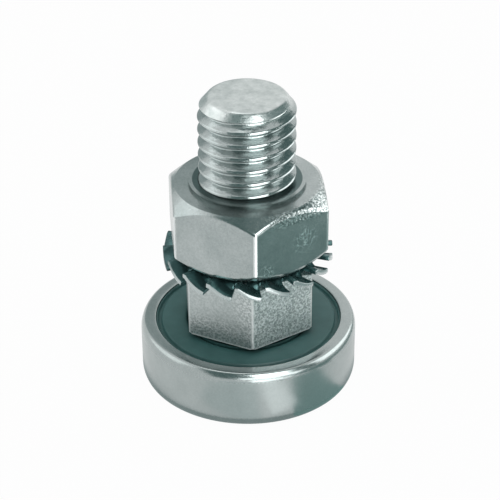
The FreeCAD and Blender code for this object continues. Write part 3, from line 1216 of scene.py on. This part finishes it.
# %% Studio: surroundings
white = (1, 1, 1, 1)
even_grey = (0.50, 0.52, 0.52, 1)
world = bpy.data.worlds.new("studio")
bpy.context.scene.world = world
world.use_nodes = True
sky = white_to_sight(world.node_tree, 1).blend(even_grey, white)
feed(world.node_tree.nodes["Background"], {"Color": sky})
print("general light:", even_grey[:3])

# %% [markdown]
# ## Studio: cards
#
# Bright steel in white surroundings looks like chalk, so photographers hold cards beside it and let the
# metal mirror them. Here a card glows by itself and shows in reflections alone: not to the camera, not as
# light, not as a shadow. Upright faces look down at the floor, and tops look up and back, which tells
# where each card has to be. The first one is dark. It hangs over the camera and shades the chamfers at
# the front.

# %% Studio: cards
def reflection_card(name, place, aim, width, height, colour, glow, sides=4, turn=0):
    """A flat card that faces a direction and that only reflections show, square or with more sides."""
    clear_selection()
    if sides == 4:
        bpy.ops.mesh.primitive_plane_add(size=1, location=place)
    else:
        bpy.ops.mesh.primitive_circle_add(vertices=sides, radius=0.5, fill_type="NGON", location=place)
    card = bpy.context.object
    card.name = name
    card.rotation_mode = "QUATERNION"
    in_plane = Quaternion((0, 0, 1), math.radians(turn))
    card.rotation_quaternion = Vector(aim).to_track_quat("Z", "Y") @ in_plane
    card.scale = (width, height, 1)
    card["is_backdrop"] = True
    card.visible_camera = False
    card.visible_shadow = False
    card.visible_diffuse = False
    material, shader = new_finish(name)[:2]
    black = (0, 0, 0, 1)
    feed(shader, {"Base Color": black, "Specular IOR Level": 0})
    feed(shader, {"Emission Color": colour, "Emission Strength": glow})
    dress(material, card)


dark = (0.07, 0.15, 0.145, 1)
over_camera = (0.20, -0.195, 0.2025)
reflection_card("room_card", over_camera, (0, 0.395, -0.25), 0.9, 0.467, dark, 1)

# %% [markdown]
# ### Dark and grey cards
#
# A second dark card stands at the right and gives the thread its depth. Dim ones on the floor at the
# front right shade the right-hand faces. Grey ones behind, in front of and under the object take the
# glare from the tops, the front faces and the tread's foot.

# %% Dark and grey cards
dim = (0.20, 0.32, 0.31, 1)
grey = (0.42, 0.48, 0.48, 1)
soft = (0.78, 0.84, 0.84, 1)
up = (0, 0, 1)
to_front = (0, -1, 0)
to_left = (-1, 0, 0)
reflection_card("back_card", (-0.029, 0.060, 0.046), to_front, 0.062, 0.052, grey, 1)
reflection_card("floor_card", (0.108, -0.087, 0.0004), up, 0.164, 0.150, dim, 1)
reflection_card("side_card", (0.0151, -0.0174, 0.0005), up, 0.011, 0.016, dim, 1.3, turn=41)
reflection_card("wall_card", (0.25, 0.03, 0.20), to_left, 0.40, 0.34, dark, 1)
reflection_card("lens_card", (-0.006, -0.028, 0.0004), up, 0.014, 0.022, soft, 1)
reflection_card("foot_card", (0, 0, 0.0002), up, 0.0346, 0.0346, grey, 0.95, sides=96)
reflection_card("far_card", (0.150, 0.029, 0.0004), up, 0.22, 0.082, dim, 1)

# %% [markdown]
# ### White cards
#
# A tall strip and a low, wide one at the front right draw the highlights on the tip and on rounded edges,
# and a card at the right whitens the nut's chamfer on that side. Edges and crests that face the camera
# look at the floor in front, where two small cards give them their bright lines.

# %% White cards
reflection_card("strip_card", (0.058, -0.160, 0.130), (-0.058, 0.160, -0.100), 0.118, 0.155, white, 5.5)
reflection_card("low_card", (0.046, -0.140, 0.026), (-0.046, 0.140, -0.018), 0.17, 0.036, white, 3.2)
reflection_card("right_card", (0.045, 0, 0.0335), to_left, 0.05, 0.039, white, 2.5)
reflection_card("white_card", (0.014, -0.064, 0.0008), up, 0.030, 0.05, white, 4.2)
reflection_card("near_card", (0.006, -0.028, 0.0008), up, 0.006, 0.022, white, 1.45)

# %% [markdown]
# ## Studio: lamps
#
# A large soft box stands at the left, a smaller one hangs above, and a weak one at the right lifts the
# shaded side. One bright lamp would cast hard shadows. Together with the world these light the object at
# a plain level, so that colours render about as they are written.

# %% Studio: lamps
def soft_box(name, place, width, height, power):
    """A rectangular lamp that faces the middle of the object."""
    data = bpy.data.lights.new(name, "AREA")
    data.shape = "RECTANGLE"
    data.size = width
    data.size_y = height
    data.energy = power
    lamp = bpy.data.objects.new(name, data)
    bpy.context.scene.collection.objects.link(lamp)
    lamp.location = place
    lamp.rotation_mode = "QUATERNION"
    lamp.rotation_quaternion = (Vector((0, 0, sight_height)) - Vector(place)).to_track_quat("-Z", "Y")
    return lamp


lamps = [
    soft_box("left_box", (-0.36, 0.06, 0.22), 0.34, 0.30, 0.23),
    soft_box("top_box", (-0.05, 0.04, 0.42), 0.16, 0.16, 0.08),
    soft_box("right_box", (0.30, 0.10, 0.21), 0.10, 0.12, 0.06),
]
print("lamps, W:", {lamp.name: round(lamp.data.energy, 3) for lamp in lamps})

# %% [markdown]
# ## Size
#
# The dressed object has to stay inside its CAD box, so the last lines print how far each corner of its box
# has moved from the CAD box.

# %% Size
visual_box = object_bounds()
for side, cad_corner, visual_corner in zip(("low", "high"), cad_box, visual_box):
    print(side, "corner moved by, mm:", [round(x / mm, 3) for x in visual_corner - cad_corner])
